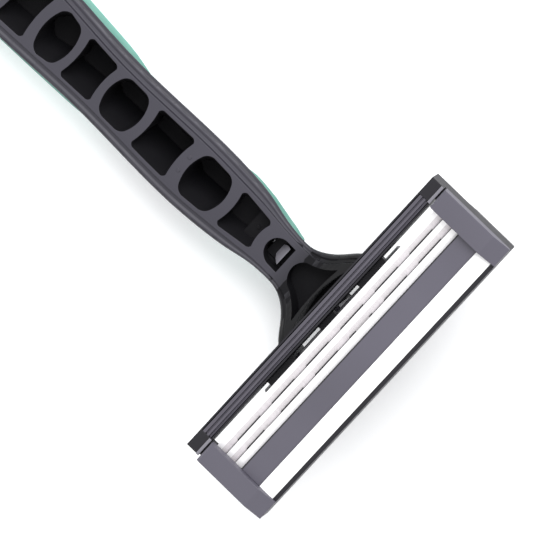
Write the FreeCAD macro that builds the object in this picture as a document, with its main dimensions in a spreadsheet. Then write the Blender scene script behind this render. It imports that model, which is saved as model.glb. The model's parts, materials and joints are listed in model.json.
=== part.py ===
"""Cartridge razor with a pivoting triple-blade head, as a parametric FreeCAD document.

Units are millimetres. X runs along the blades, +Y from the head towards the handle's tail and +Z up,
out of the shaving face. The origin is at the middle of the footprint, on the surface that the
razor lies on. Distances called "behind the guard" run from the guard's outer edge towards the cap.
"""
import FreeCAD, Part
import Sketcher
import math
import os
import re

from FreeCAD import Vector

SIZES = {
    # whole razor
    "overall_length": (115.0, "rear edge of the head to the tail of the handle"),
    "head_length": (42.0, "head, over its end caps"),
    "rim_height": (7.0, "rims of the handle above the surface"),
    "face_above_rim": (7.9, "cutting edges above the rims of the handle"),
    # head, from the guard to the rear edge
    "guard_width": (1.75, "guard bar"),
    "rinse_gap": (0.83, "open gap between guard and first edge"),
    "gap_undercut": (0.6, "gap runs on under each end cap"),
    "blade_pitch": (1.38, "one cutting edge to the next"),
    "cap_lead": (1.06, "third edge to the cap bar"),
    "cap_bar_width": (2.45, "cap bar"),
    "strip_step": (0.16, "bevel between cap bar and strip"),
    "strip_width": (2.02, "lubricating strip"),
    "rear_bar": (0.49, "rear wall of the housing"),
    # blades and the parts that hold them
    "blade_margin": (2.0, "end of a blade to the end of the head"),
    "blade_width": (5.0, "edge to back"),
    "blade_thickness": (0.1, "steel strip"),
    "blade_bevel": (0.65, "ground bevel"),
    "blade_angle": (20.0, "blade to shaving face, degrees"),
    "stack_gap": (0.005, "layer of air between blade and spacer"),
    "bay_clearance": (0.05, "blade end to housing"),
    "tooth_pitch": (5.81, "spacing of the rinse slots"),
    "slot_length": (3.85, "rinse slot along X"),
    "slot_depth": (2.2, "rinse slot behind the edge above it"),
    "stake_radius": (0.35, "stake through the blades"),
    "stake_clearance": (0.05, "hole around a stake"),
    "stake_inner": (5.81, "inner stakes from the middle"),
    "stake_margin": (2.6, "outer stakes from the ends of the blades"),
    "stake_setback": (4.45, "stakes behind the first edge, along the blade"),
    # housing
    "end_cap_width": (2.6, "end cap along X"),
    "end_cap_rise": (1.0, "end cap above the edges"),
    "end_cap_gap": (0.25, "groove between corner block and end cap"),
    "groove_depth": (0.6, "depth of that groove below the edges"),
    "corner_ridge": (0.18, "ridge on a corner block beside the groove"),
    "ridge_width": (0.35, "that ridge, across"),
    "end_cap_slope": (2.2, "sloping rear of an end cap"),
    "end_cap_heel": (0.35, "end cap's height at the rear edge"),
    "cap_rise": (0.25, "cap bar above the edges"),
    "seam": (0.02, "joint line between pieces of the head"),
    "housing_inset": (0.2, "housing narrower than the end caps, each end"),
    "housing_depth": (5.5, "housing below the edges"),
    "housing_draft": (12.0, "end walls, degrees"),
    "guard_depth": (2.4, "guard bar and seat front below the edges"),
    "guard_wall": (0.2, "walls of the channel for the guard strip"),
    "channel_depth": (0.9, "channel for the guard strip"),
    "seat_thickness": (1.1, "seat under the blades"),
    "skirt_wall": (1.2, "rear skirt"),
    # pivot
    "pin_setback": (2.9, "pivot axis behind the guard"),
    "pin_drop": (3.9, "pivot axis below the edges"),
    "pin_radius": (0.95, "pivot pin"),
    "pin_clearance": (0.05, "running clearance of the pin"),
    "pin_length": (22.4, "pivot pin"),
    "arm_spacing": (6.9, "middle of an arm from the middle"),
    "arm_width": (1.5, "arm of the handle"),
    "arm_root": (0.3, "root of an arm, behind the guard"),
    "arm_drop": (0.9, "underside of an arm's root below the rims"),
    "arm_rise": (2.5, "top of an arm's root above the rims"),
    "eye_radius": (1.35, "eye at the end of an arm"),
    "cheek_thickness": (0.6, "bearing cheek"),
    "cheek_clearance": (0.05, "arm to cheek"),
    "bearing_radius": (1.75, "bearing cheek around the pin"),
    "cheek_drop": (1.7, "top of the bearing web below the edges"),
    "bridge_drop": (2.2, "top of the middle bridge below the edges"),
    "bridge_thickness": (0.55, "middle bridge"),
    "bridge_width": (2.5, "middle bridge along X"),
    "web_spacing": (7.6, "middle of a bearing web from the middle"),
    "web_width": (4.2, "bearing web along X"),
    "web_thickness": (0.75, "bearing web"),
    "heel_lever": (1.8, "heel below the pivot axis"),
    "heel_radius": (0.5, "rounded heel"),
    "heel_width": (1.1, "heel along X"),
    # return plunger and its channel in the neck
    "plunger_gap": (0.05, "heel to plunger at rest"),
    "plunger_width": (2.5, "plunger"),
    "plunger_height": (1.9, "stem of the plunger"),
    "plunger_tail": (8.75, "tail of the plunger, ahead of the guard"),
    "nose_reach": (0.65, "top of the plunger's nose above the middle of the heel"),
    "channel_clearance": (0.1, "plunger to channel"),
    "channel_floor": (3.85, "channel floor above the surface"),
    "channel_end": (9.9, "end of the channel, ahead of the guard"),
    "catch_at": (6.75, "crest of the catch, ahead of the guard"),
    "catch_height": (1.3, "catch above the stem"),
    "catch_radius": (1.2, "half-round catch"),
    "catch_run": (1.0, "ramp of the catch, along the handle"),
    "spring_radius": (0.5, "mean radius of the return spring"),
    "wire_radius": (0.11, "spring wire"),
    "spring_turns": (7.0, "turns of the return spring"),
    "spring_seat": (4.4, "spring seat in the plunger, ahead of the guard"),
    # handle
    "rim_flank": (1.35, "grooved flank outside the rim"),
    "flank_drop": (0.9, "height of the flank"),
    "flank_none": (1.9, "half width of a handle too narrow for a flank"),
    "flank_full": (4.4, "half width from which the flank is full"),
    "side_draft": (20.0, "handle walls, degrees"),
    "back_round": (0.9, "rounding of the back edges"),
    "rim_width": (1.74, "pocket edge to the widest line"),
    "pocket_floor": (2.3, "floor of the pockets above the surface"),
    "first_pocket_floor": (4.4, "floor of the first pocket above the surface"),
    "first_pocket_front": (4.2, "width of the first pocket at its neck end"),
    "first_pocket_rear": (5.0, "width of the first pocket at its other end"),
    "ledge_height": (5.6, "ledge at the neck end of the first pocket, above the surface"),
    "ledge_share": (0.42, "share of the first pocket's length that the ledge takes"),
    "nub_radius": (0.2, "moulding nub on the ledge"),
    "barrel_corner": (0.8, "rounded corners of a barrel pocket, across"),
    "barrel_shoulder": (1.1, "rounded corners of a barrel pocket, along"),
    "waist_corner": (0.45, "rounded corners of a waisted pocket"),
    "corner_bow": (0.13, "rise of a corner's arc as a share of its chord"),
    "mark_at": (21.75, "ejector marks on the rib behind the second pocket, ahead of the guard"),
    "mark_offset": (1.0, "ejector marks from the middle"),
    "mark_radius": (0.22, "ejector mark"),
    "mark_rise": (0.15, "ejector mark above the rib"),
    "barrel_bulge": (0.46, "ends of a barrel pocket bow out by"),
    "waist_bulge": (0.27, "ends of a waisted pocket bow in by"),
    "rear_pocket_pitch": (5.1, "spacing of the rear pockets"),
    "rear_pocket_length": (4.0, "length of the rear pockets"),
    "tail_solid": (13.0, "solid tail behind the last pocket"),
    "window_width": (3.44, "arched window over the catch"),
    "window_start": (6.2, "straight edge of the window, ahead of the guard"),
    "window_straight": (1.2, "straight sides of the window"),
    "mouth_setback": (0.0, "front of the mouth between the arms, behind the guard"),
    "lip_setback": (0.35, "ends of the curved lip, behind the guard"),
    "lip_reach": (1.12, "middle of the curved lip, ahead of the guard"),
    "lip_height": (6.4, "lower lip of the trumpet above the surface"),
    "hollow_floor": (6.3, "floor of the trumpet hollow above the surface"),
    "hollow_crest": (5.2, "crest of the hollow's arch, ahead of the guard"),
    "shoulder_at": (4.3, "shoulders of the hollow, ahead of the guard"),
    "shoulder_half": (1.7, "shoulders of the hollow, from the middle"),
    "spread_at": (2.9, "where the hollow spreads, ahead of the guard"),
    "spread_half": (2.4, "where the hollow spreads, from the middle"),
    "hollow_lip": (1.4, "middle of the hollow's near edge, ahead of the guard"),
    "toe_at": (1.15, "toes of the hollow, ahead of the guard"),
    "toe_half": (4.0, "toes of the hollow, from the middle"),
    # soft grips
    "grip_thickness": (0.8, "soft grip on the back"),
    "grip_drop": (1.7, "upper edge of the rear grip below the rim"),
    "pad_drop": (2.4, "upper edge of the front pad below the rim"),
    "grip_bulge": (0.72, "rear grip on the walls"),
    "pad_bulge": (0.34, "front pad on the walls"),
    "pad_start": (6.6, "front pad, ahead of the guard"),
    "pad_end": (16.4, "front pad, ahead of the guard"),
    "grip_start": (31.5, "rear grip, ahead of the guard"),
    "grip_tail": (5.5, "rear grip to the tail"),
    "grip_taper": (5.0, "run-out of the rear grip"),
    "pad_taper": (2.4, "run-out of the front pad"),
    "thinnest": (0.06, "thickness of a grip at its ends"),
    "grip_fade": (0.8, "share of a grip's bulge left at its back edge"),
    "rib_pitch": (1.05, "ribs of the soft grips"),
    "rib_depth": (0.25, "grooves between the ribs"),
}

# Cross-sections of the handle: distance ahead of the guard, width, rim height and back height.
FRONT_STATIONS = {
    "mouth": (-1.2, 15.4, 9.8, 3.3),
    "lip": (0.0, 15.0, 9.8, 3.3),
    "flare": (2.4, 9.8, 9.0, 3.2),
    "throat": (3.7, 7.6, 8.4, 3.1),
    "collar": (4.8, 6.5, 8.05, 3.0),
    "neck": (7.0, 6.15, 7.7, 2.9),
    "nape": (9.2, 6.6, 7.5, 2.6),
    "shoulder": (12.0, 7.85, 7.5, 1.7),
    "chest": (15.2, 8.75, 7.7, 1.0),
    "belly": (19.0, 9.25, 7.9, 0.8),
    "waist": (31.0, 8.9, 7.8, 0.8),
    "hip": (36.0, 8.95, 7.4, 0.8),
    "swell": (41.7, 9.6, 6.9, 0.8),
}
# The rear cross-sections are placed by their distance from the tail.
REAR_STATIONS = {
    "palm": (46.0, 10.8, 6.1, 0.8),
    "broad": (27.0, 11.4, 5.5, 0.8),
    "narrowing": (10.0, 10.4, 5.4, 0.8),
    "rounding": (5.0, 9.2, 5.3, 0.9),
    "end": (2.2, 7.4, 5.1, 1.3),
    "last": (0.6, 5.0, 4.7, 1.9),
    "tail": (0.0, 3.4, 4.3, 2.4),
}
# Flank from the rim outwards: share of the flank's width still to go, share of its drop. A ridge at
# the pockets, a groove, a rounded crest and the widest line.
FLANK = ((1.0, 0.0), (0.92, 0.35), (0.64, 0.44), (0.42, 0.31), (0.12, 0.52), (0.0, 1.0))
LEAST_FLANK = 0.25
RUN_OUT_STEPS = 4
# Rounded back edge, across and up from the corner of the walls and the back, in shares of its radius.
BACK_EDGE = ((0.25, 0.9), (-0.2, 0.25), (-1.0, 0.0))
# Pockets in the front half of the handle: distance ahead of the guard and length.
FRONT_POCKETS = ((12.5, 4.6), (18.5, 5.35), (25.08, 5.25), (31.1, 5.03), (36.6, 4.5), (41.7, 4.26))

# Ridges of the guard strip as shares of its width, and the share that each sloping flank takes.
RIDGES = ((0.02, 0.38), (0.46, 0.76), (0.84, 0.98))
RIDGE_FLANK = 0.05
# Crown of the lubricating strip: its sides and its top as shares of the cap's rise.
CROWN_SIDE = 0.33
CROWN_TOP = 0.8

PLACES = {
    "head_depth": "guard_width + rinse_gap + 2 * blade_pitch + cap_lead + cap_bar_width"
                  " + strip_step + strip_width + rear_bar",
    "rear_y": "-overall_length / 2",
    "guard_y": "rear_y + head_depth",
    "handle_length": "overall_length - head_depth",
    "face_z": "rim_height + face_above_rim",
    "gap_y": "guard_y - guard_width",
    "edge_y": "gap_y - rinse_gap",
    "cap_y": "edge_y - 2 * blade_pitch - cap_lead",
    "strip_y": "cap_y - cap_bar_width - strip_step",
    "strip_end_y": "strip_y - strip_width",
    "window_half": "head_length / 2 - end_cap_width",
    "housing_half": "head_length / 2 - housing_inset",
    "blade_length": "head_length - 2 * blade_margin",
    "stake_outer": "blade_length / 2 - stake_margin",
    "bay_half": "blade_length / 2 + bay_clearance",
    "blade_run": "blade_width * cos(blade_angle)",
    "layer_pitch": "blade_pitch * sin(blade_angle)",
    "edge_step": "blade_pitch * cos(blade_angle)",
    "spacer_thickness": "layer_pitch - blade_thickness - 2 * stack_gap",
    "seat_z": "face_z - blade_thickness / cos(blade_angle) - stack_gap",
    "stack_y": "edge_y - blade_run - bay_clearance",
    "stack_z": "seat_z - (edge_y - stack_y) * tan(blade_angle)",
    "pin_y": "guard_y - pin_setback",
    "pin_z": "face_z - pin_drop",
    "bore_radius": "pin_radius + pin_clearance",
    "heel_z": "pin_z - heel_lever",
    "seat_base_z": "face_z - guard_depth",
    "skirt_z": "face_z - housing_depth",
    "web_y": "pin_y - bearing_radius",
    "stem_z": "channel_floor + channel_clearance",
    "stem_top_z": "stem_z + plunger_height",
    "nose_y": "pin_y + heel_radius + plunger_gap",
    "nose_z": "heel_z + nose_reach",
}

doc = FreeCAD.newDocument("razor")
parts = []


def fill_sheet(name, entries):
    """One alias per row: the note in column A, the number or formula in column B."""
    sheet = doc.addObject("Spreadsheet::Sheet", name)
    for row, (alias, text, note) in enumerate(entries, start=1):
        sheet.set(f"A{row}", note)
        sheet.set(f"B{row}", text)
        sheet.setAlias(f"B{row}", alias)
    return sheet


def bind(formula):
    """A size formula in which every size name points at its cell."""
    def cell(match):
        word = match.group()
        if word in SIZES:
            return "Dims." + word
        return "Places." + word if word in PLACES else word
    return re.sub(r"[a-z_]+", cell, formula)


fill_sheet("Dims", [(alias, str(value), note) for alias, (value, note) in SIZES.items()])
doc.recompute()
places = fill_sheet("Places", [(alias, "=" + bind(text), "placed by formula")
                               for alias, text in PLACES.items()])
doc.recompute()


def number(formula):
    """The present value of a size formula."""
    return float(places.evalExpression(bind(formula)))


# ---------------------------------------------------------------- helpers for sketched pieces

def new_body(label):
    """An empty sub-part that will be written under this label."""
    body = doc.addObject("PartDesign::Body", label)
    body.Label = label
    parts.append(body)
    return body


def new_sketch(body, plane, offset):
    """A sketch on one of the body's own origin planes, moved along its normal."""
    sketch = body.newObject("Sketcher::SketchObject", body.Label + "_sketch")
    support = next(item for item in body.Origin.OriginFeatures if item.Role == plane)
    sketch.AttachmentSupport = (support, [""])
    sketch.MapMode = "FlatFace"
    sketch.setExpression("AttachmentOffset.Base.z", bind(offset))
    return sketch


def pin_point(sketch, edge, vertex, place):
    """Hold one point of a sketch at a pair of size formulas."""
    for kind, formula in zip(("DistanceX", "DistanceY"), place):
        index = sketch.addConstraint(Sketcher.Constraint(kind, -1, 1, edge, vertex, number(formula)))
        sketch.setExpression(f"Constraints[{index}]", bind(formula))


def polygon(body, plane, corners, offset="0"):
    """A closed outline of straight edges through corners given as pairs of size formulas."""
    sketch = new_sketch(body, plane, offset)
    spots = [Vector(number(across), number(up), 0) for across, up in corners]
    for index, spot in enumerate(spots):
        sketch.addGeometry(Part.LineSegment(spot, spots[(index + 1) % len(spots)]))
    for index in range(len(spots)):
        previous = index - 1 if index else len(spots) - 1
        sketch.addConstraint(Sketcher.Constraint("Coincident", previous, 2, index, 1))
    for index, place in enumerate(corners):
        pin_point(sketch, index, 1, place)
    return sketch


def circles(body, plane, centres, radius, offset="0"):
    """Round outlines with one radius."""
    sketch = new_sketch(body, plane, offset)
    for index, place in enumerate(centres):
        centre = Vector(number(place[0]), number(place[1]), 0)
        sketch.addGeometry(Part.Circle(centre, Vector(0, 0, 1), number(radius)))
        pin_point(sketch, index, 3, place)
        constraint = sketch.addConstraint(Sketcher.Constraint("Radius", index, number(radius)))
        sketch.setExpression(f"Constraints[{constraint}]", bind(radius))
    return sketch


def rectangle(left, right, low, high):
    """Corners of an upright rectangle."""
    return [(left, low), (right, low), (right, high), (left, high)]


def feature(body, kind, sketch, length, symmetric=True, backwards=False):
    """Pad or pocket one sketch and check that it really adds or removes material."""
    before = body.Shape.Volume if body.Tip else 0.0
    step = body.newObject("PartDesign::" + kind, body.Label + "_" + kind.lower())
    step.Profile = sketch
    step.SideType = "Symmetric" if symmetric else "One side"
    step.Reversed = backwards
    step.setExpression("Length", bind(length))
    sketch.Visibility = False
    doc.recompute()
    change = body.Shape.Volume - before
    if (change <= 0) == (kind == "Pad"):
        raise ValueError(f"{kind} in {body.Label} changes nothing")
    return step


def pad(body, sketch, length, **options):
    return feature(body, "Pad", sketch, length, **options)


def pocket(body, sketch, length, **options):
    return feature(body, "Pocket", sketch, length, **options)


def tilt_to_blades(piece, row):
    """Lay a piece drawn flat at the origin along the blade of this row, 0 being the first."""
    piece.Placement = FreeCAD.Placement(Vector(), FreeCAD.Rotation(Vector(1, 0, 0), 0))
    piece.setExpression("Placement.Base.y", bind(f"edge_y - {row} * blade_pitch"))
    piece.setExpression("Placement.Base.z", bind("face_z"))
    piece.setExpression("Placement.Rotation.Angle", bind("blade_angle"))


def slot_places():
    """Middles of the rinse slots along X, as many as fit between the end caps."""
    pairs = int((number("window_half") - number("slot_length") / 2) / number("tooth_pitch") + 0.5)
    return [side * (index + 0.5) for index in range(pairs) for side in (-1, 1)]


# ---------------------------------------------------------------- head

def build_housing():
    body = new_body("housing")
    outline = [
        ("guard_y", "face_z"),
        ("guard_y", "seat_base_z"),
        ("web_y", "seat_base_z"),
        ("web_y - pin_radius", "skirt_z"),
        ("rear_y + end_cap_heel", "skirt_z"),
        ("rear_y", "seat_base_z"),
        ("rear_y", "face_z"),
    ]
    pad(body, polygon(body, "YZ_Plane", outline), "2 * housing_half")
    bay = [
        ("edge_y", "face_z + end_cap_rise"),
        ("edge_y", "seat_z"),
        ("stack_y", "stack_z"),
        ("strip_end_y", "stack_z"),
        ("strip_end_y", "face_z + end_cap_rise"),
    ]
    pocket(body, polygon(body, "YZ_Plane", bay), "2 * bay_half")
    hollow = [
        ("edge_y - skirt_wall", "skirt_z - skirt_wall"),
        ("edge_y - skirt_wall", "seat_z - seat_thickness - skirt_wall * tan(blade_angle)"),
        ("stack_y", "stack_z - seat_thickness"),
        ("rear_y + skirt_wall", "stack_z - seat_thickness"),
        ("rear_y + skirt_wall", "skirt_z - skirt_wall"),
    ]
    pocket(body, polygon(body, "YZ_Plane", hollow), "2 * (bay_half - skirt_wall)")
    gap = rectangle("edge_y", "gap_y", "skirt_z", "face_z + end_cap_rise")
    pocket(body, polygon(body, "YZ_Plane", gap), "2 * (window_half + gap_undercut)")
    channel = rectangle("gap_y + guard_wall", "guard_y - guard_wall",
                        "face_z - channel_depth", "face_z + end_cap_rise")
    pocket(body, polygon(body, "YZ_Plane", channel), "2 * window_half")
    for side in ("", "-"):
        groove = rectangle("gap_y - end_cap_gap", "gap_y", "face_z - groove_depth", "face_z + end_cap_rise")
        pocket(body, polygon(body, "YZ_Plane", groove, f"{side}(window_half)"), "end_cap_width",
               symmetric=False, backwards=side == "")
        ridge = rectangle("gap_y", "gap_y + ridge_width", "face_z - corner_ridge", "face_z + corner_ridge")
        pad(body, polygon(body, "YZ_Plane", ridge, f"{side}(window_half)"),
            "end_cap_width - housing_inset", symmetric=False, backwards=side == "-")
        wedge = [
            (f"{side}(housing_half)", "seat_base_z"),
            (f"{side}(housing_half)", "skirt_z - skirt_wall"),
            (f"{side}(housing_half - housing_depth * tan(housing_draft))", "skirt_z - skirt_wall"),
        ]
        pocket(body, polygon(body, "XZ_Plane", wedge), "2 * overall_length")
    for place in slot_places():
        middle = f"{place} * tooth_pitch"
        window = rectangle(f"{middle} - slot_length / 2", f"{middle} + slot_length / 2",
                           "stack_y + slot_depth / 4", "stack_y + slot_depth")
        pocket(body, polygon(body, "XY_Plane", window, "skirt_z"), "housing_depth",
               symmetric=False, backwards=True)
    build_bearings(body)
    return body


def web_outline(drop, thickness):
    """Web across the rinse gap from the guard bar to the seat, its top this far below the edges."""
    return [
        ("gap_y + guard_wall", "seat_base_z + seam"),
        ("gap_y", "seat_base_z + seam"),
        ("gap_y", f"face_z - {drop}"),
        ("edge_y", f"face_z - {drop}"),
        ("edge_y", "seat_base_z + seam"),
        ("web_y", "seat_base_z + seam"),
        ("web_y", f"face_z - {drop} - {thickness}"),
        ("gap_y + guard_wall", f"face_z - {drop} - {thickness}"),
    ]


def build_bearings(body):
    """Two forked bearings for the pivot pin, and the heel that the return plunger presses on."""
    cheek = [
        ("pin_y + bearing_radius", "face_z - cheek_drop"),
        ("pin_y + bearing_radius", "pin_z"),
        ("pin_y + bearing_radius / 2", "pin_z - bearing_radius"),
        ("pin_y - bearing_radius / 2", "pin_z - bearing_radius"),
        ("web_y", "pin_z"),
        ("web_y", "face_z - cheek_drop"),
    ]
    for side in ("-", ""):
        for place in ("arm_spacing - arm_width / 2 - cheek_clearance - cheek_thickness",
                      "arm_spacing + arm_width / 2 + cheek_clearance"):
            start = f"{side}({place})"
            pad(body, polygon(body, "YZ_Plane", cheek, start), "cheek_thickness",
                symmetric=False, backwards=side == "-")
        start = f"{side}(web_spacing - web_width / 2)"
        web = polygon(body, "YZ_Plane", web_outline("cheek_drop", "web_thickness"), start)
        pad(body, web, "web_width", symmetric=False, backwards=side == "-")
    pocket(body, circles(body, "YZ_Plane", [("pin_y", "pin_z")], "bore_radius"), "pin_length")
    pad(body, polygon(body, "YZ_Plane", web_outline("bridge_drop", "bridge_thickness")), "bridge_width")
    leg_front = "pin_y - pin_radius - heel_radius"
    leg_rear = "pin_y - pin_radius - 3 * heel_radius"
    heel = [
        (leg_front, "seat_base_z + seam"),
        (leg_front, "heel_z + heel_radius"),
        ("pin_y", "heel_z + heel_radius"),
        ("pin_y", "heel_z - heel_radius"),
        (leg_rear, "heel_z - heel_radius"),
        (leg_rear, "seat_base_z + seam"),
    ]
    pad(body, polygon(body, "YZ_Plane", heel), "heel_width")
    pad(body, circles(body, "YZ_Plane", [("pin_y", "heel_z")], "heel_radius"), "heel_width")


def build_guard_strip():
    """Soft strip in the guard bar, with two broad ridges and a narrow one along the head."""
    body = new_body("guard_strip")
    front = "guard_y - guard_wall - seam"
    width = "(guard_width - 2 * guard_wall - 2 * seam)"
    corners = [(front, "face_z - channel_depth + seam")]
    for start, end in RIDGES:
        corners += [
            (f"{front} - {width} * {start}", "face_z - cap_rise"),
            (f"{front} - {width} * {start + RIDGE_FLANK}", "face_z"),
            (f"{front} - {width} * {end - RIDGE_FLANK}", "face_z"),
            (f"{front} - {width} * {end}", "face_z - cap_rise"),
        ]
    corners.append((f"{front} - {width}", "face_z - channel_depth + seam"))
    pad(body, polygon(body, "YZ_Plane", corners), "2 * (window_half - seam)")


def stake_centres(row):
    """Centres of the stakes in the plane of the blade in this row."""
    depth = f"-(stake_setback - {row} * edge_step)"
    return [(f"{side}{name}", depth) for name in ("stake_inner", "stake_outer") for side in ("-", "")]


def build_blade(row):
    """A thin strip of steel: ground edge at the front, holes for the stakes near the back."""
    body = new_body(f"blade_{row + 1}")
    profile = [
        ("0", "-blade_thickness / 2"),
        ("-blade_bevel", "0"),
        ("-blade_width", "0"),
        ("-blade_width", "-blade_thickness"),
        ("-blade_bevel", "-blade_thickness"),
    ]
    pad(body, polygon(body, "YZ_Plane", profile), "blade_length")
    holes = circles(body, "XY_Plane", stake_centres(row), "stake_radius + stake_clearance")
    pocket(body, holes, "blade_width")
    tilt_to_blades(body, row)


def build_spacer(row):
    """Toothed strip between one blade and the next, with rinse slots open to the front."""
    body = new_body(f"spacer_{row + 1}")
    front = "-edge_step + stake_clearance"
    profile = rectangle("-blade_width", front, "stack_gap", "stack_gap + spacer_thickness")
    pad(body, polygon(body, "YZ_Plane", profile), "blade_length")
    for place in slot_places():
        middle = f"{place} * tooth_pitch"
        slot = rectangle(f"{middle} - slot_length / 2", f"{middle} + slot_length / 2",
                         "-edge_step - slot_depth / 2", "0")
        pocket(body, polygon(body, "XY_Plane", slot), "blade_width")
    holes = circles(body, "XY_Plane", stake_centres(row), "stake_radius + stake_clearance")
    pocket(body, holes, "blade_width")
    tilt_to_blades(body, row)


def build_stakes():
    """Four stakes that pass through the blades and hold cap, blades, spacers and seat together."""
    pins = []
    for across, along in stake_centres(0):
        pin = doc.addObject("Part::Cylinder", "stake")
        pin.setExpression("Radius", bind("stake_radius"))
        pin.setExpression("Height", bind("seat_thickness + 2 * layer_pitch + stake_radius"))
        pin.setExpression("Placement.Base.x", bind(across))
        pin.setExpression("Placement.Base.y", bind(along))
        pin.setExpression("Placement.Base.z", bind("-seat_thickness"))
        pins.append(pin)
    group = doc.addObject("Part::Compound", "stake_pins")
    group.Label = "stake_pins"
    group.Links = pins
    tilt_to_blades(group, 0)
    parts.append(group)


def build_cap_bar():
    """Bar that clamps the blades and holds the strip."""
    body = new_body("cap_bar")
    profile = [
        ("cap_y", "face_z + cap_rise"),
        ("cap_y", "face_z - cap_lead * tan(blade_angle) + seam"),
        ("edge_y - 2 * blade_pitch - blade_run", "face_z - blade_width * sin(blade_angle) + seam"),
        ("edge_y - 2 * blade_pitch - blade_run", "stack_z + seam"),
        ("strip_end_y + seam", "stack_z + seam"),
        ("strip_end_y + seam", "face_z - channel_depth + seam"),
        ("strip_y", "face_z - channel_depth + seam"),
        ("strip_y", "face_z + cap_rise - strip_step"),
        ("strip_y + strip_step", "face_z + cap_rise"),
    ]
    pad(body, polygon(body, "YZ_Plane", profile), "2 * (window_half - seam)")


def build_strip():
    """Lubricating strip, slightly crowned."""
    body = new_body("lubricating_strip")
    profile = [
        ("strip_y - seam", "face_z - channel_depth + 2 * seam"),
        ("strip_y - seam", f"face_z + cap_rise * {CROWN_SIDE}"),
        ("strip_y - strip_width / 4", f"face_z + cap_rise * {CROWN_TOP}"),
        ("strip_end_y + strip_width / 4", f"face_z + cap_rise * {CROWN_TOP}"),
        ("strip_end_y + seam", f"face_z + cap_rise * {CROWN_SIDE}"),
        ("strip_end_y + seam", "face_z - channel_depth + 2 * seam"),
    ]
    pad(body, polygon(body, "YZ_Plane", profile), "2 * (window_half - seam)")


def build_end_cap(label, side):
    """Raised cap over one end of the blades; side is "-" on the left and empty on the right."""
    body = new_body(label)
    front = "gap_y - end_cap_gap"
    chamfer = "end_cap_gap"
    profile = [
        (front, "face_z + seam"),
        (front, f"face_z + end_cap_rise - {chamfer}"),
        (f"{front} - {chamfer}", "face_z + end_cap_rise"),
        ("rear_y + end_cap_slope", "face_z + end_cap_rise"),
        ("rear_y", "face_z + end_cap_heel"),
        ("rear_y", "face_z + seam"),
    ]
    sketch = polygon(body, "YZ_Plane", profile, f"{side}(window_half)")
    pad(body, sketch, "end_cap_width", symmetric=False, backwards=side == "-")


def build_pivot_pin():
    pin = doc.addObject("Part::Cylinder", "pivot_pin")
    pin.Label = "pivot_pin"
    pin.Placement = FreeCAD.Placement(Vector(), FreeCAD.Rotation(Vector(0, 1, 0), 90))
    pin.setExpression("Radius", bind("pin_radius"))
    pin.setExpression("Height", bind("pin_length"))
    pin.setExpression("Placement.Base.x", bind("-pin_length / 2"))
    pin.setExpression("Placement.Base.y", bind("pin_y"))
    pin.setExpression("Placement.Base.z", bind("pin_z"))
    parts.append(pin)


# ---------------------------------------------------------------- plunger

def build_plunger():
    """Sliding plunger: nose against the heel, half-round catch in the window, bore for the spring."""
    body = new_body("return_plunger")
    tail = "guard_y + plunger_tail"
    nose_back = "nose_y + plunger_height / 2"
    profile = [
        ("nose_y", "stem_z + plunger_height / 2"),
        ("nose_y", "nose_z"),
        (f"{nose_back} - pin_clearance", "nose_z"),
        (nose_back, "stem_top_z"),
        (tail, "stem_top_z"),
        (tail, "stem_z"),
        (nose_back, "stem_z"),
    ]
    pad(body, polygon(body, "YZ_Plane", profile), "plunger_width")
    crest = "guard_y + catch_at"
    pad(body, circles(body, "XY_Plane", [("0", crest)], "catch_radius", "stem_top_z"), "catch_height",
        symmetric=False)
    around_ramp = [
        (f"{crest} - 2 * catch_radius", "stem_top_z"),
        (crest, "stem_top_z"),
        (crest, "stem_top_z + catch_height"),
        (f"{crest} + catch_run", "stem_top_z"),
        (f"{crest} + 2 * catch_radius", "stem_top_z"),
        (f"{crest} + 2 * catch_radius", "stem_top_z + 2 * catch_height"),
        (f"{crest} - 2 * catch_radius", "stem_top_z + 2 * catch_height"),
    ]
    pocket(body, polygon(body, "YZ_Plane", around_ramp), "plunger_width")
    bore = circles(body, "XZ_Plane", [("0", "stem_z + plunger_height / 2")],
                   "spring_radius + wire_radius + channel_clearance", f"-({tail})")
    pocket(body, bore, "plunger_tail - spring_seat", symmetric=False, backwards=True)


def add_shape(label, shape, placement=FreeCAD.Placement()):
    """A sub-part whose shape comes from Part functions."""
    piece = doc.addObject("Part::Feature", label)
    piece.Label = label
    piece.Shape = shape
    piece.Placement = placement
    parts.append(piece)


def build_spring():
    """Round-wire compression spring along Y, between the plunger and the end of its channel."""
    wire = number("wire_radius")
    radius = number("spring_radius")
    start = number("guard_y + spring_seat") + wire
    length = number("channel_end - spring_seat") - 2 * wire
    coil = Part.makeHelix(length / number("spring_turns"), length, radius)
    ring = Part.Wire(Part.makeCircle(wire, Vector(radius, 0, 0), Vector(0, 1, 0)))
    shape = Part.Wire(coil.Edges).makePipeShell([ring], True, True)
    middle = Vector(0, start, number("stem_z + plunger_height / 2"))
    add_shape("return_spring", shape, FreeCAD.Placement(middle, FreeCAD.Rotation(Vector(1, 0, 0), -90)))


# ---------------------------------------------------------------- handle

def stations():
    """Handle cross-sections from mouth to tail: distance ahead of the guard, width, rim, back."""
    length = number("handle_length")
    rear = [(length - at, width, top, back) for at, width, top, back in REAR_STATIONS.values()]
    lift = number("rim_height") - SIZES["rim_height"][0]
    front = list(FRONT_STATIONS.values())
    return [(at, width, top + lift, back) for at, width, top, back in front + rear]


def along_handle(at, column):
    """Width, rim height or back height of the handle at one place, between its stations."""
    table = stations()
    for before, after in zip(table, table[1:]):
        if before[0] <= at <= after[0]:
            share = (at - before[0]) / (after[0] - before[0])
            return before[column] + share * (after[column] - before[column])
    raise ValueError("place is off the handle")


def closed_wire(edges):
    return Part.Wire([edge.toShape() for edge in edges])


def side_lean(depth):
    """How far a wall has leaned in at this depth below the rims."""
    return depth * math.tan(math.radians(number("side_draft")))


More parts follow.
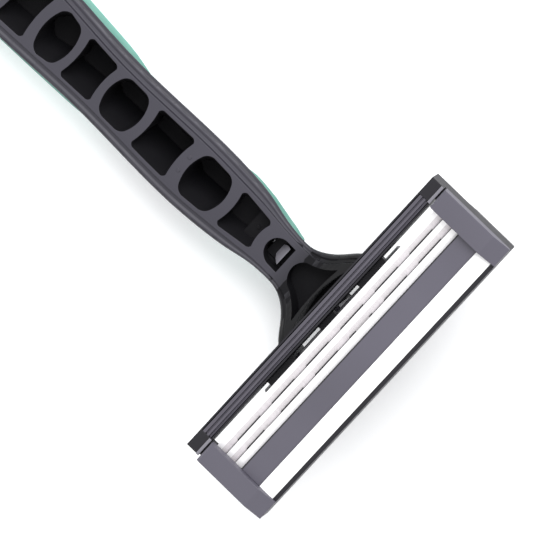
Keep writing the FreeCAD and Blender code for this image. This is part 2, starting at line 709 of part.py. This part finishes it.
def handle_section(at, width, top, back):
    """Flat rims above, grooved flanks, walls that lean in, and a rounded back."""
    where = number("guard_y") + at
    half = width / 2
    base = half - side_lean(top - back)
    fullness = (half - number("flank_none")) / number("flank_full - flank_none")
    fullness = min(max(fullness, LEAST_FLANK), 1.0)
    flank = number("rim_flank") * fullness
    drop = number("flank_drop") * fullness
    rounding = min(number("back_round"), base / 2)

    def spot(across, up):
        return Vector(across, where, up)

    right = [spot(half - inward * flank, top - down * drop) for inward, down in FLANK]
    right += [spot(base + out * rounding, back + up * rounding) for out, up in BACK_EDGE]
    left = [Vector(-point.x, point.y, point.z) for point in right]
    return closed_wire([
        Part.LineSegment(left[0], right[0]),
        Part.LineSegment(right[0], right[1]),
        Part.LineSegment(right[1], right[2]),
        Part.LineSegment(right[2], right[3]),
        Part.Arc(right[3], right[4], right[5]),
        Part.LineSegment(right[5], right[6]),
        Part.Arc(right[6], right[7], right[8]),
        Part.LineSegment(right[8], left[8]),
        Part.Arc(left[8], left[7], left[6]),
        Part.LineSegment(left[6], left[5]),
        Part.Arc(left[5], left[4], left[3]),
        Part.LineSegment(left[3], left[2]),
        Part.LineSegment(left[2], left[1]),
        Part.LineSegment(left[1], left[0]),
    ])


def grip_section(at, width, top, back, drop, bulge, share):
    """Outside of a soft grip around the back of the handle, at this share of its full thickness."""
    where = number("guard_y") + at
    edge = top - drop
    side = number("thinnest") + share * (bulge - number("thinnest"))
    under = number("thinnest") + share * (number("grip_thickness") - number("thinnest"))

    def wall(up):
        return width / 2 - side_lean(top - number("flank_drop") - up)

    rounding = number("back_round")
    round_z = back + rounding
    points = [
        (wall(edge) + side, edge),
        (wall(round_z) + side * number("grip_fade"), round_z),
        (wall(round_z) + (under - rounding) / 2, back - under / 2),
        (wall(round_z) - rounding, back - under),
    ]
    right = [Vector(across, where, up) for across, up in points]
    left = [Vector(-point.x, point.y, point.z) for point in reversed(right)]
    ring = right + left
    return closed_wire([Part.LineSegment(ring[i], ring[(i + 1) % len(ring)]) for i in range(len(ring))])


def block(half_width, y_low, y_high, z_low, z_high):
    """Box across the middle of the razor."""
    return Part.makeBox(2 * half_width, y_high - y_low, z_high - z_low, Vector(-half_width, y_low, z_low))


def prism(edges, low, high):
    """Closed outline in the plane of the handle, as a solid from one height to another."""
    face = Part.Face(closed_wire(edges))
    face.translate(Vector(0, 0, low))
    return face.extrude(Vector(0, 0, high - low))


def pocket_wire(front, rear, front_half, rear_half, bulge, corner, shoulder, height):
    """Outline with rounded corners; a positive bulge bows the ends out, a negative one in."""
    guard = number("guard_y")

    def spot(across, place):
        return Vector(across, guard + place, height)

    def corner_arc(start, end):
        """Arc from one point of the outline to the next, bowed away from the pocket's middle."""
        along = end - start
        bow = Vector(-along.y, along.x, 0) * number("corner_bow")
        middle = (start + end) * 0.5
        centre = spot(0, (front + rear) / 2)
        if (middle + bow - centre).Length < (middle - bow - centre).Length:
            bow = bow * -1
        return Part.Arc(start, middle + bow, end)

    front_flat = front_half - min(corner, front_half / 2)
    rear_flat = rear_half - min(corner, rear_half / 2)
    right_front, right_rear = spot(front_half, front + shoulder), spot(rear_half, rear - shoulder)
    left_front, left_rear = spot(-front_half, front + shoulder), spot(-rear_half, rear - shoulder)
    return closed_wire([
        Part.Arc(spot(-front_flat, front), spot(0, front - bulge), spot(front_flat, front)),
        corner_arc(spot(front_flat, front), right_front),
        Part.LineSegment(right_front, right_rear),
        corner_arc(right_rear, spot(rear_flat, rear)),
        Part.Arc(spot(rear_flat, rear), spot(0, rear + bulge), spot(-rear_flat, rear)),
        corner_arc(spot(-rear_flat, rear), left_rear),
        Part.LineSegment(left_rear, left_front),
        corner_arc(left_front, spot(-front_flat, front)),
    ])


def pocket_shape(at, length, barrel):
    """Pocket between two ribs; it narrows downwards as the handle's walls do."""
    bulge = number("barrel_bulge") if barrel else -number("waist_bulge")
    corner = number("barrel_corner") if barrel else number("waist_corner")
    shoulder = number("barrel_shoulder") if barrel else number("waist_corner")
    ends = max(bulge, 0)
    front, rear = at - length / 2 + ends, at + length / 2 - ends
    wires = []
    for height in (number("pocket_floor"), along_handle(at, 2) + number("flank_drop")):
        halves = []
        for place in (front, rear):
            lean = side_lean(along_handle(place, 2) - height)
            halves.append(along_handle(place, 1) / 2 - number("rim_width") - lean)
        wires.append(pocket_wire(front, rear, *halves, bulge, corner, shoulder, height))
    return Part.makeLoft(wires, True, True)


def first_pocket(at, length):
    """Pocket behind the neck: wider towards the tail, with a ledge and one nub at its neck end."""
    front, rear = at - length / 2, at + length / 2
    low, high = number("first_pocket_floor"), along_handle(at, 2) + number("flank_drop")
    corner = number("waist_corner")
    wires = []
    for height in (low, high):
        lean = side_lean(along_handle(at, 2) - height)
        wires.append(pocket_wire(front, rear, number("first_pocket_front") / 2 - lean,
                                 number("first_pocket_rear") / 2 - lean,
                                 -number("waist_bulge"), corner, corner, height))
    start = number("guard_y") + front
    ledge_length = length * number("ledge_share")
    top = number("ledge_height")
    ledge = block(length, start - corner, start + ledge_length, 0, top)
    nub = Part.makeCylinder(number("nub_radius"), top + number("nub_radius"),
                            Vector(0, start + ledge_length / 2, 0))
    return Part.makeLoft(wires, True, True).cut([ledge, nub])


def handle_pockets():
    """Front pockets at their own places, then evenly spaced ones up to the solid tail."""
    places = list(FRONT_POCKETS)
    at = places[-1][0] + number("rear_pocket_pitch")
    while at < number("handle_length - tail_solid"):
        places.append((at, number("rear_pocket_length")))
        at += number("rear_pocket_pitch")
    yield first_pocket(*places[0])
    for index, place in enumerate(places[1:]):
        yield pocket_shape(*place, barrel=index % 2 == 0)


def ejector_marks():
    """Two low round marks on the rib behind the second pocket."""
    at = number("mark_at")
    base = number("pocket_floor")
    tall = along_handle(at, 2) + number("mark_rise") - base
    return [Part.makeCylinder(number("mark_radius"), tall,
                              Vector(side * number("mark_offset"), number("guard_y") + at, base))
            for side in (-1, 1)]


def trumpet_hollow():
    """Hollow in the mouth: an arch towards the neck, closed by the curved lip."""
    guard = number("guard_y")

    def corner(side, name):
        return Vector(side * number(name + "_half"), guard + number(name + "_at"), 0)

    crest = Vector(0, guard + number("hollow_crest"), 0)
    outline = [
        Part.Arc(corner(-1, "shoulder"), crest, corner(1, "shoulder")),
        Part.Arc(corner(1, "shoulder"), corner(1, "spread"), corner(1, "toe")),
        Part.Arc(corner(1, "toe"), Vector(0, guard + number("hollow_lip"), 0), corner(-1, "toe")),
        Part.Arc(corner(-1, "toe"), corner(-1, "spread"), corner(-1, "shoulder")),
    ]
    return prism(outline, number("hollow_floor"), number("face_z"))


def mouth_step():
    """Space in front of the curved lip, above the lower lip and between the arms."""
    half = number("arm_spacing - arm_width / 2")
    side = number("guard_y - lip_setback")
    front = number("pin_y")
    outline = [
        Part.Arc(Vector(-half, side, 0), Vector(0, number("guard_y + lip_reach"), 0), Vector(half, side, 0)),
        Part.LineSegment(Vector(half, side, 0), Vector(half, front, 0)),
        Part.LineSegment(Vector(half, front, 0), Vector(-half, front, 0)),
        Part.LineSegment(Vector(-half, front, 0), Vector(-half, side, 0)),
    ]
    return prism(outline, number("lip_height"), number("face_z"))


def mouth_front():
    """Space between the arms for the bearings, the heel and the plunger's nose, open to the table."""
    return block(number("arm_spacing - arm_width / 2"), number("pin_y - 2 * bearing_radius"),
                 number("guard_y - mouth_setback"), 0, number("face_z"))


def window_cut():
    """Arched window in the neck, over the catch of the plunger."""
    half = number("window_width") / 2
    start = number("guard_y + window_start")
    bend = start + number("window_straight")
    outline = [
        Part.LineSegment(Vector(-half, start, 0), Vector(half, start, 0)),
        Part.LineSegment(Vector(half, start, 0), Vector(half, bend, 0)),
        Part.Arc(Vector(half, bend, 0), Vector(0, bend + half, 0), Vector(-half, bend, 0)),
        Part.LineSegment(Vector(-half, bend, 0), Vector(-half, start, 0)),
    ]
    return prism(outline, number("stem_top_z"), number("face_z"))


def handle_arm(side):
    """Arm from the mouth up to its eye on the pivot axis."""
    width = number("arm_width")
    guard, pin_y, pin_z = number("guard_y"), number("pin_y"), number("pin_z")
    radius = number("eye_radius")
    left = side * number("arm_spacing") - width / 2
    low, high = number("rim_height - arm_drop"), number("rim_height + arm_rise")
    root = guard - number("arm_root")
    outline = [(root, low), (root, high), (pin_y + radius / 2, pin_z + radius * 0.8),
               (pin_y - radius / 2, pin_z + radius * 0.8), (pin_y - radius * 0.8, pin_z - radius / 2),
               (root - radius, low)]
    points = [Vector(left, y, z) for y, z in outline]
    face = Part.Face(Part.makePolygon(points + points[:1]))
    eye = Part.makeCylinder(radius, width, Vector(left, pin_y, pin_z), Vector(1, 0, 0))
    return face.extrude(Vector(width, 0, 0)).fuse(eye)


def handle_core():
    return Part.makeLoft([handle_section(*station) for station in stations()], True, False)


def build_handle(core):
    """Moulded handle: trumpet mouth with two arms, neck with the plunger channel, ribbed grip."""
    half_channel = number("plunger_width / 2 + channel_clearance")
    channel = block(half_channel, number("pin_y"), number("guard_y + channel_end"),
                    number("channel_floor"), number("stem_top_z + channel_clearance"))
    pin_start = Vector(-number("pin_length") / 2, number("pin_y"), number("pin_z"))
    bore = Part.makeCylinder(number("pin_radius"), number("pin_length"), pin_start, Vector(1, 0, 0))
    room = number("cheek_thickness + 2 * cheek_clearance")
    offset = number("(arm_width + cheek_thickness) / 2 + cheek_clearance")
    reach = number("3 * bearing_radius")
    cheek_room = [
        Part.makeBox(room, reach, number("housing_depth"),
                     Vector(side * number("arm_spacing") + shift - room / 2,
                            number("pin_y") - reach / 2, number("pin_z - housing_depth / 2")))
        for side in (-1, 1)
        for shift in (-offset, offset)
    ]
    shape = core.cut([mouth_step(), mouth_front()] + cheek_room)
    shape = shape.fuse([handle_arm(-1), handle_arm(1)] + ejector_marks())
    shape = shape.cut([channel, bore, window_cut(), trumpet_hollow()] + list(handle_pockets()))
    add_shape("handle_body", shape.removeSplitter())


def build_grip(label, start, end, taper, drop, bulge, core):
    """Soft ribbed grip moulded around the back of the handle; it thins out towards both ends."""
    run_out = [taper * step / RUN_OUT_STEPS for step in range(RUN_OUT_STEPS + 1)]
    marks = [start + run for run in run_out]
    marks += [at for at, *_ in stations() if start + taper < at - 1 and at + 1 < end - taper]
    marks += [end - run for run in reversed(run_out)]
    sections = []
    for at in marks:
        rise = min(at - start, end - at, taper) / taper
        share = math.sin(rise * math.pi / 2)
        here = [along_handle(at, column) for column in (1, 2, 3)]
        sections.append(grip_section(at, *here, drop, bulge, share))
    shape = Part.makeLoft(sections, True, True).cut(core)
    guard = number("guard_y")
    tall = number("face_z")
    pitch = number("rib_pitch")
    depth = number("rib_depth")
    grooves = []
    for index in range(1, int((end - start) / pitch)):
        at = start + index * pitch
        rise = min(at - start, end - at, taper) / taper
        low = along_handle(at, 3) - number("grip_thickness") * math.sin(rise * math.pi / 2)
        grooves.append(Part.makeCylinder(depth, 2 * tall, Vector(-tall, guard + at, low), Vector(1, 0, 0)))
    add_shape(label, shape.cut(grooves))


# ---------------------------------------------------------------- build, check and write

build_housing()
build_guard_strip()
for layer in range(3):
    build_blade(layer)
for layer in range(2):
    build_spacer(layer)
build_stakes()
build_cap_bar()
build_strip()
build_end_cap("end_cap_left", "-")
build_end_cap("end_cap_right", "")
build_pivot_pin()
build_plunger()
build_spring()
handle = handle_core()
build_handle(handle)
build_grip("front_pad", number("pad_start"), number("pad_end"), number("pad_taper"),
           number("pad_drop"), number("pad_bulge"), handle)
build_grip("rear_grip", number("grip_start"), number("handle_length - grip_tail"), number("grip_taper"),
           number("grip_drop"), number("grip_bulge"), handle)
doc.recompute()

for item in doc.Objects:
    if "Invalid" in item.State or "Error" in item.State:
        raise ValueError(f"{item.Label} failed: {item.State}")
os.makedirs("parts", exist_ok=True)
for piece in parts:
    if piece.Shape.isNull() or not piece.Shape.isValid():
        raise ValueError(f"{piece.Label} has no valid shape")
    piece.Shape.exportStep(f"parts/{piece.Label}.step")
    print(f"{piece.Label:18s} solids {len(piece.Shape.Solids)} volume {piece.Shape.Volume:9.3f}")
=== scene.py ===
"""Looks for the cartridge razor: materials, fine detail, floor, light and camera."""
import json
import math

import bpy
from mathutils import Matrix, Vector


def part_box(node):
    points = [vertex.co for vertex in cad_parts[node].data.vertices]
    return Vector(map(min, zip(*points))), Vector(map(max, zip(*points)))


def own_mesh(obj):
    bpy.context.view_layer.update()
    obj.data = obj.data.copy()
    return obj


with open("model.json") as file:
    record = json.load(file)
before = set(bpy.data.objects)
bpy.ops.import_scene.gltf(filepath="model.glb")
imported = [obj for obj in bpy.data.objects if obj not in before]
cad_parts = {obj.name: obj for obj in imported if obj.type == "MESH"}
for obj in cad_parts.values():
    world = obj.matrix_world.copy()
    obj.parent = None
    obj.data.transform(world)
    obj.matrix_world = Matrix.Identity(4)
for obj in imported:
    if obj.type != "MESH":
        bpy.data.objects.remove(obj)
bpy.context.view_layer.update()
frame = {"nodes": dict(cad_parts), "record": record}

nodes = frame["nodes"]
MM = 0.001

# Blades: ground bevel, rinse slots along X, and the painted shadow line in front of the next piece.
BEVEL = 0.65 * MM
SLOT_PITCH = 5.81 * MM
SLOT_LENGTH = 3.85 * MM
SHADOW_LINE = 0.2 * MM
SHADOW_DEPTH = 0.93
BODY_SHADES = ((0.65, 0.62, 0.64), (0.72, 0.69, 0.71))
# Edge shades: partly the ground bevel's polish, partly painted highlight.
EDGE_HIGHLIGHT_SHADES = ((0.88, 0.87, 0.88), (0.94, 0.93, 0.94))

# Scales of the noise in moulded plastic, in cycles per metre.
FLOW_MARKS = 60.0
SMUDGES = 350.0
GRAIN = 9000.0


# ---------------------------------------------------------------- node-tree helpers

def new_material(name, color, roughness, specular=0.5, metallic=0.0):
    """A Principled material; returns it with its node tree and shader."""
    material = bpy.data.materials.new(name)
    material.use_nodes = True
    tree = material.node_tree
    shader = tree.nodes["Principled BSDF"]
    shader.inputs["Base Color"].default_value = (*color, 1.0)
    shader.inputs["Roughness"].default_value = roughness
    shader.inputs["Specular IOR Level"].default_value = specular
    shader.inputs["Metallic"].default_value = metallic
    return material, tree, shader


def noise(tree, scale, detail=4.0, stretch=(1.0, 1.0, 1.0)):
    """Object-space noise; scale is in cycles per metre, stretch squeezes it along the axes."""
    place = tree.nodes.new("ShaderNodeTexCoord")
    mapping = tree.nodes.new("ShaderNodeMapping")
    mapping.inputs["Scale"].default_value = stretch
    texture = tree.nodes.new("ShaderNodeTexNoise")
    texture.inputs["Scale"].default_value = scale
    texture.inputs["Detail"].default_value = detail
    tree.links.new(place.outputs["Object"], mapping.inputs["Vector"])
    tree.links.new(mapping.outputs["Vector"], texture.inputs["Vector"])
    return texture.outputs["Fac"]


def ramp(tree, source, low, high, start=0.3, end=0.7):
    """Colour between low and high as the source goes from start to end."""
    node = tree.nodes.new("ShaderNodeValToRGB")
    node.color_ramp.elements[0].position = start
    node.color_ramp.elements[1].position = end
    node.color_ramp.elements[0].color = (*low, 1.0)
    node.color_ramp.elements[1].color = (*high, 1.0)
    tree.links.new(source, node.inputs["Fac"])
    return node.outputs["Color"]


def spread(tree, source, low, high):
    """The source rescaled from 0..1 to low..high."""
    node = tree.nodes.new("ShaderNodeMapRange")
    node.inputs["To Min"].default_value = low
    node.inputs["To Max"].default_value = high
    tree.links.new(source, node.inputs["Value"])
    return node.outputs["Result"]


def bump(tree, shader, source, height_mm, strength=0.6, edge_mm=0.0):
    """Fine relief; edge_mm also softens sharp edges to that radius."""
    node = tree.nodes.new("ShaderNodeBump")
    node.inputs["Strength"].default_value = strength
    node.inputs["Distance"].default_value = height_mm * MM
    tree.links.new(source, node.inputs["Height"])
    tree.links.new(node.outputs["Normal"], shader.inputs["Normal"])
    if edge_mm:
        edge = tree.nodes.new("ShaderNodeBevel")
        edge.samples = 6
        edge.inputs["Radius"].default_value = edge_mm * MM
        tree.links.new(edge.outputs["Normal"], node.inputs["Normal"])
    return node


# ---------------------------------------------------------------- materials

def moulded_plastic(name, dark, light, rough_low, rough_high, grain_mm, edge_mm=0.12, specular=0.5):
    """Moulded plastic: faint flow marks in colour, uneven gloss and fine grain."""
    material, tree, shader = new_material(name, light, rough_high, specular)
    flow = noise(tree, FLOW_MARKS, 3.0, (1.0, 0.35, 1.0))
    tree.links.new(ramp(tree, flow, dark, light), shader.inputs["Base Color"])
    smudge = noise(tree, SMUDGES, 5.0)
    tree.links.new(spread(tree, smudge, rough_low, rough_high), shader.inputs["Roughness"])
    bump(tree, shader, noise(tree, GRAIN, 2.0), grain_mm, 0.35, edge_mm)
    return material


def paint_shade_towards_mouth(material, start, end):
    """Painted shade: dim the plastic's colour from end back to start, two places along Y."""
    tree = material.node_tree
    shader = tree.nodes["Principled BSDF"]
    plain = shader.inputs["Base Color"].links[0].from_socket
    place = tree.nodes.new("ShaderNodeTexCoord")
    axes = tree.nodes.new("ShaderNodeSeparateXYZ")
    tree.links.new(place.outputs["Object"], axes.inputs["Vector"])
    fade = tree.nodes.new("ShaderNodeMapRange")
    fade.inputs["From Min"].default_value = start
    fade.inputs["From Max"].default_value = end
    tree.links.new(axes.outputs["Y"], fade.inputs["Value"])
    mix = tree.nodes.new("ShaderNodeMix")
    mix.data_type = "RGBA"
    tree.links.new(fade.outputs["Result"], mix.inputs[0])
    # The colour of the painted shade in the trumpet mouth.
    mix.inputs[6].default_value = (0.003, 0.003, 0.004, 1.0)
    tree.links.new(plain, mix.inputs[7])
    tree.links.new(mix.outputs[2], shader.inputs["Base Color"])


def strip_material():
    material, tree, shader = new_material("strip_polymer", (0.9, 0.9, 0.9), 0.55)
    mottle = ramp(tree, noise(tree, 900.0), (0.84, 0.84, 0.85), (0.93, 0.93, 0.93))
    tree.links.new(mottle, shader.inputs["Base Color"])
    bump(tree, shader, noise(tree, 4000.0, 3.0), 0.01, 0.4)
    return material


def math_node(tree, operation, first, second):
    """Arithmetic on two values, each a socket or a number."""
    node = tree.nodes.new("ShaderNodeMath")
    node.operation = operation
    for socket, value in zip(node.inputs, (first, second)):
        if isinstance(value, float):
            socket.default_value = value
        else:
            tree.links.new(value, socket)
    return node.outputs["Value"]


def blade_material(name, dark, light, rough_low, rough_high):
    """Ground steel with fine lines across the edge."""
    material, tree, shader = new_material(name, light, rough_high, metallic=0.5)
    lines = noise(tree, 1500.0, 3.0, (2.0, 0.2, 0.2))
    tree.links.new(ramp(tree, lines, dark, light), shader.inputs["Base Color"])
    tree.links.new(spread(tree, noise(tree, 400.0), rough_low, rough_high), shader.inputs["Roughness"])
    bump(tree, shader, lines, 0.002, 0.15)
    return material, tree, shader


def shaded_blade(name, shades, next_edge, steadiness, slotted=True):
    """Blade with a thin shadow in front of the next piece, in dashes where there are rinse slots."""
    material, tree, shader = blade_material(name, *shades, 0.4, 0.55)
    steel = shader.inputs["Base Color"].links[0].from_socket
    place = tree.nodes.new("ShaderNodeTexCoord")
    axes = tree.nodes.new("ShaderNodeSeparateXYZ")
    tree.links.new(place.outputs["Object"], axes.inputs["Vector"])
    phase = math_node(tree, "FRACT", math_node(tree, "DIVIDE", axes.outputs["X"], SLOT_PITCH), 0.0)
    off_middle = math_node(tree, "ABSOLUTE", math_node(tree, "SUBTRACT", phase, 0.5), 0.0)
    in_slot = math_node(tree, "LESS_THAN", off_middle, SLOT_LENGTH / SLOT_PITCH / 2 if slotted else 1.0)
    above = math_node(tree, "SUBTRACT", axes.outputs["Y"], next_edge)
    in_line = math_node(tree, "LESS_THAN", above, SHADOW_LINE)
    patch = math_node(tree, "GREATER_THAN", noise(tree, 130.0, 1.0, (1.0, 0.0, 0.0)), steadiness)
    shade = math_node(tree, "MULTIPLY", math_node(tree, "MULTIPLY", in_slot, in_line), patch)
    mix = tree.nodes.new("ShaderNodeMix")
    mix.data_type = "RGBA"
    tree.links.new(math_node(tree, "MULTIPLY", shade, SHADOW_DEPTH), mix.inputs[0])
    tree.links.new(steel, mix.inputs[6])
    mix.inputs[7].default_value = (0.03, 0.03, 0.035, 1.0)
    tree.links.new(mix.outputs[2], shader.inputs["Base Color"])
    return material


def grip_material():
    material, tree, shader = new_material("soft_grip", (0.1, 0.6, 0.45), 0.6)
    mottle = ramp(tree, noise(tree, 500.0), (0.16, 0.38, 0.32), (0.22, 0.46, 0.39))
    tree.links.new(mottle, shader.inputs["Base Color"])
    bump(tree, shader, noise(tree, 6000.0, 3.0), 0.02, 0.4)
    return material


def steel_wire():
    material, tree, shader = new_material("spring_wire", (0.6, 0.6, 0.62), 0.35, metallic=1.0)
    mottle = ramp(tree, noise(tree, 2500.0), (0.5, 0.5, 0.52), (0.68, 0.68, 0.7))
    tree.links.new(mottle, shader.inputs["Base Color"])
    return material


black = moulded_plastic("black_plastic", (0.012, 0.011, 0.0155), (0.02, 0.0185, 0.026),
                        0.32, 0.5, 0.004)
# Painted shade: a much darker, duller copy of the black for the pocket walls and floors, blade
# undersides, spacer slots and plunger, where shade falls.
painted_shade_black = moulded_plastic("black_painted_shade", (0.002, 0.0019, 0.003), (0.0036, 0.0034, 0.005),
                         0.6, 0.8, 0.006, edge_mm=0.0, specular=0.2)
grey = moulded_plastic("grey_plastic", (0.066, 0.062, 0.081), (0.086, 0.081, 0.106), 0.42, 0.58, 0.004)
dark_grey = moulded_plastic("housing_plastic", (0.009, 0.0085, 0.0115), (0.014, 0.013, 0.017),
                            0.42, 0.58, 0.004, specular=0.3)
# Painted highlight: a light grey for the housing's ridge and the plunger's catch.
painted_highlight_grey = moulded_plastic("painted_highlight_plastic", (0.15, 0.145, 0.17), (0.19, 0.185, 0.21),
                             0.42, 0.58, 0.004)
rubber = moulded_plastic("guard_rubber", (0.052, 0.048, 0.062), (0.072, 0.067, 0.086),
                         0.5, 0.7, 0.006, edge_mm=0.05)
spacer_steel = blade_material("spacer_steel", (0.40, 0.38, 0.40), (0.48, 0.46, 0.48), 0.4, 0.55)[0]
# Bright ground bevel: partly the polished bevel, partly a painted highlight.
ground_edge_highlight = blade_material("ground_bevel_highlight", *EDGE_HIGHLIGHT_SHADES, 0.3, 0.4)[0]
MATERIALS = {
    "black_plastic": black,
    "grey_plastic": grey,
    "guard_rubber": rubber,
    "green_grip": grip_material(),
    "blade_steel": spacer_steel,
    "spacer_metal": spacer_steel,
    "spring_steel": steel_wire(),
    "white_strip": strip_material(),
}
for part in frame["record"]["subparts"]:
    mesh = nodes[part["node"]].data
    mesh.materials.clear()
    mesh.materials.append(MATERIALS[part["material_slot"]])


def coat_faces(node, material, wanted):
    """Give another material to the faces whose middle and normal pass the test."""
    mesh = nodes[node].data
    mesh.materials.append(material)
    slot = len(mesh.materials) - 1
    for face in mesh.polygons:
        if wanted(face.center, face.normal):
            face.material_index = slot


guard_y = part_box("housing")[1].y
rear_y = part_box("housing")[0].y
face_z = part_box("end_cap_left")[0].z

# Blades: bevel bright, part polish and part painted highlight; painted shadows in front of the next
# edge; painted shade on the undersides and behind the spacer teeth.
EDGES = [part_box(blade)[1].y for blade in ("blade_1", "blade_2", "blade_3")]
STEADY = 0.0
BROKEN = 0.43
TOOTH_FRONT = 0.3 * MM
cap_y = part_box("cap_bar")[1].y
nodes["blade_1"].data.materials[0] = shaded_blade("blade_body_1", BODY_SHADES, EDGES[1], STEADY)
nodes["blade_2"].data.materials[0] = shaded_blade("blade_body_2", BODY_SHADES, EDGES[2], BROKEN)
# Blade 3 takes the bright edge shades all over, part polish and part painted highlight, with a painted
# shadow line along the cap bar.
nodes["blade_3"].data.materials[0] = shaded_blade("blade_body_3", EDGE_HIGHLIGHT_SHADES, cap_y, STEADY,
                                                  slotted=False)
for blade, edge_y in zip(("blade_1", "blade_2", "blade_3"), EDGES):
    coat_faces(blade, ground_edge_highlight, lambda middle, normal: normal.z > 0 and middle.y > edge_y - BEVEL)
    coat_faces(blade, painted_shade_black, lambda middle, normal: normal.z < 0)
# Spacers: painted shade on their faces behind the tooth fronts and on their sides, for the dark slots.
for spacer in ("spacer_1", "spacer_2"):
    front_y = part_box(spacer)[1].y
    coat_faces(spacer, painted_shade_black,
               lambda middle, normal: middle.y < front_y - TOOTH_FRONT or abs(normal.x) > 0.5)

# Housing: darker than the caps; its upward faces above the caps' face get a painted highlight, the
# light ridge beside each end cap's groove.
nodes["housing"].data.materials[0] = dark_grey
coat_faces("housing", painted_highlight_grey, lambda middle, normal: middle.z > face_z and normal.z > 0.5)

# Handle: paler on the grip than in the trumpet mouth, where shade is painted into the colour; the
# outward flanks get a darker copy of the plastic as painted shade.
handle_black = moulded_plastic("handle_plastic", (0.036, 0.0345, 0.045), (0.048, 0.046, 0.059),
                               0.35, 0.5, 0.004, specular=0.3)
handle_flank_painted_shade = moulded_plastic("handle_flank_painted_shade", (0.016, 0.015, 0.022), (0.024, 0.023, 0.032),
                               0.35, 0.5, 0.004, specular=0.26)
for plastic in (handle_black, handle_flank_painted_shade):
    paint_shade_towards_mouth(plastic, guard_y + 2.5 * MM, guard_y + 7.0 * MM)
nodes["handle_body"].data.materials[0] = handle_black
coat_faces("handle_body", handle_flank_painted_shade,
           lambda middle, normal: normal.z < 0.93 and normal.x * middle.x > 0)

# Plunger: painted shade on its flat tops and sides, and a painted highlight on the sloping faces of the
# half-round catch in the window.
CATCH_FRONT = 6.0 * MM
coat_faces("return_plunger", painted_shade_black,
           lambda middle, normal: middle.y > guard_y and (normal.z > 0.99 or abs(normal.z) < 0.2))
coat_faces("return_plunger", painted_highlight_grey,
           lambda middle, normal: middle.y > guard_y + CATCH_FRONT and 0.2 < normal.z < 0.99)

# Handle: half width and rim height in bands along Y, to tell its openings from its outside.
BAND = 1.5 * MM
RIM = 1.2 * MM
FLOOR_DEPTH = 0.9 * MM
half_widths = {}
rims = {}
for vertex in nodes["handle_body"].data.vertices:
    band = round(vertex.co.y / BAND)
    half_widths[band] = max(half_widths.get(band, 0.0), abs(vertex.co.x))
    rims[band] = max(rims.get(band, 0.0), vertex.co.z)


def around(table, band):
    """Largest entry of this band and its two neighbours."""
    return max(table.get(band + step, 0.0) for step in (-1, 0, 1))


def inside_handle(middle, normal):
    """Faces that line the openings: steep ones that look inwards, and floors well below the rims."""
    band = round(middle.y / BAND)
    inward = normal.x * middle.x < 0 or abs(normal.x) < 0.4
    wall = abs(normal.z) < 0.6 and inward
    floor = normal.z > 0.9 and middle.z < around(rims, band) - FLOOR_DEPTH
    return middle.y > guard_y and abs(middle.x) < around(half_widths, band) - RIM and (wall or floor)


# Painted shade: the walls and floors of the handle's openings get the much darker black.
coat_faces("handle_body", painted_shade_black, inside_handle)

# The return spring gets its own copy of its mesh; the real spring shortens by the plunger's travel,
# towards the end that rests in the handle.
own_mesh(nodes["return_spring"])


# ---------------------------------------------------------------- floor, light and camera

head_middle = Vector((0.0, (guard_y + rear_y) / 2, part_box("housing")[1].z))
LEAN_RIGHT = math.radians(18.0)
LEAN_REAR = math.radians(5.0)
ROLL = math.radians(47.5)
toward = Vector((math.tan(LEAN_RIGHT), -math.tan(LEAN_REAR), 1.0)).normalized()
across = (Vector((1, 0, 0)) - toward.x * toward).normalized()
upward = toward.cross(across)
right = math.cos(ROLL) * across - math.sin(ROLL) * upward
up = math.sin(ROLL) * across + math.cos(ROLL) * upward

# The head's middle lies right of and below the middle of the view, by these shares of its width.
FRAME_WIDTH = 59.9 * MM
HEAD_RIGHT = 0.1295
HEAD_DOWN = 0.1336
DISTANCE = 0.8
target = head_middle - right * HEAD_RIGHT * FRAME_WIDTH + up * HEAD_DOWN * FRAME_WIDTH
lens = bpy.data.cameras.new("camera")
lens.sensor_width = 36.0
lens.lens = lens.sensor_width * DISTANCE / FRAME_WIDTH
lens.clip_end = 10.0
camera = bpy.data.objects.new("camera", lens)
bpy.context.collection.objects.link(camera)
turn = Matrix((right, up, toward)).transposed().to_4x4()
camera.matrix_world = Matrix.Translation(target + toward * DISTANCE) @ turn
bpy.context.scene.camera = camera


def floor_plane(reach):
    """Pale paper on which the razor lies, this far out from the middle; it glows faintly."""
    mesh = bpy.data.meshes.new("floor")
    corners = [(-reach, -reach, 0), (reach, -reach, 0), (reach, reach, 0), (-reach, reach, 0)]
    mesh.from_pydata(corners, [], [(0, 1, 2, 3)])
    plane = bpy.data.objects.new("floor", mesh)
    bpy.context.collection.objects.link(plane)
    material, tree, shader = new_material("floor_paper", (0.93, 0.93, 0.94), 0.8, 0.2)
    shader.inputs["Emission Color"].default_value = (0.9, 0.97, 1.0, 1.0)
    shader.inputs["Emission Strength"].default_value = 0.1
    mottle = ramp(tree, noise(tree, 30.0), (0.92, 0.92, 0.93), (0.94, 0.94, 0.95))
    tree.links.new(mottle, shader.inputs["Base Color"])
    mesh.materials.append(material)


def area_light(name, place, aim, size, power):
    """Round soft light that faces a point."""
    data = bpy.data.lights.new(name, "AREA")
    data.shape = "DISK"
    data.size = size
    data.energy = power
    light = bpy.data.objects.new(name, data)
    bpy.context.collection.objects.link(light)
    light.location = place
    light.rotation_euler = (Vector(aim) - Vector(place)).to_track_quat("-Z", "Y").to_euler()


floor_plane(3.0)
world = bpy.data.worlds.new("studio")
bpy.context.scene.world = world
world.use_nodes = True
world.node_tree.nodes["Background"].inputs["Color"].default_value = (1.0, 1.0, 1.0, 1.0)
world.node_tree.nodes["Background"].inputs["Strength"].default_value = 1.05
area_light("key", (0.5, 0.1, 0.5), (0.0, 0.0, 0.0), 0.6, 6.0)
bpy.context.scene.view_settings.view_transform = "Standard"
